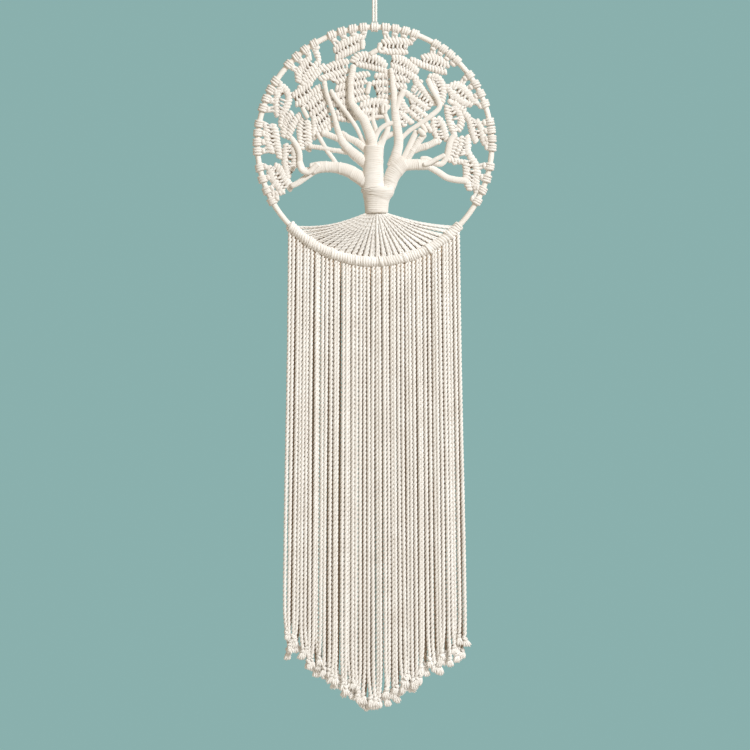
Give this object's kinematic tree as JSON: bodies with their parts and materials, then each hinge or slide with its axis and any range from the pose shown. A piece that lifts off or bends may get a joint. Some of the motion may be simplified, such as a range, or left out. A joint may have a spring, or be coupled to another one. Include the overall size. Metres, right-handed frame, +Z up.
{
  "type": "macrame hanging and hoop",
  "caption": "Openwork macrame wall hanging: a knotted tree of life in a cord-wrapped hoop, hung by a cord loop, with a long straight cord fringe ending in frayed knots.",
  "frame": {"origin": "inside the top of the hanging loop, where the loop rests on its nail or hook", "axes": "+Z up, the long way of the hanging; the front faces -Y; +X to the right seen from the front; the hoop lies in the XZ plane"},
  "size_m": [0.3049, 0.0286, 0.9259],
  "materials": {
    "hoop_wrap": "matte off-white cotton cord wound round the hoop",
    "cotton_cord": "matte off-white twisted cotton cord",
    "wrapping_thread": "matte off-white fine cotton thread, closely wound"
  },
  "bodies": {
    "root": {"hoop": "hoop_wrap", "band": "cotton_cord", "hanger": "cotton_cord", "hanger_knot": "cotton_cord", "roots": "cotton_cord", "fringe": "cotton_cord", "collar": "wrapping_thread", "trunk": "wrapping_thread", "limb_right": "wrapping_thread", "limb_left": "wrapping_thread", "branch_left_up": "cotton_cord", "branch_left_low": "cotton_cord", "branch_second": "wrapping_thread", "branch_fork": "cotton_cord", "branch_thin": "cotton_cord", "branch_crown": "cotton_cord", "branch_crown_right": "cotton_cord", "branch_twist": "cotton_cord", "branch_hook": "cotton_cord", "branch_back": "cotton_cord", "branch_front": "cotton_cord", "bough_right": "wrapping_thread", "branch_right_up": "cotton_cord", "branch_right_low": "cotton_cord", "branch_short": "wrapping_thread", "twig_1": "cotton_cord", "twig_2": "cotton_cord", "twig_3": "cotton_cord", "twig_4": "cotton_cord", "twig_5": "cotton_cord", "leaves_top_left": "cotton_cord", "leaves_upper_left": "cotton_cord", "leaves_inner_left": "cotton_cord", "leaves_left": "cotton_cord", "leaves_mid_left": "cotton_cord", "leaves_low_left_inner": "cotton_cord", "leaves_low_left": "cotton_cord", "leaves_centre_left": "cotton_cord", "leaves_crown_left": "cotton_cord", "leaves_crown": "cotton_cord", "leaves_top_right": "cotton_cord", "leaves_inner_right": "cotton_cord", "leaves_upper_right": "cotton_cord", "leaves_right": "cotton_cord", "leaves_right_inner": "cotton_cord", "leaves_mid_right": "cotton_cord", "leaves_low_right_inner": "cotton_cord", "leaves_low_right": "cotton_cord"}
  },
  "joints": []
}
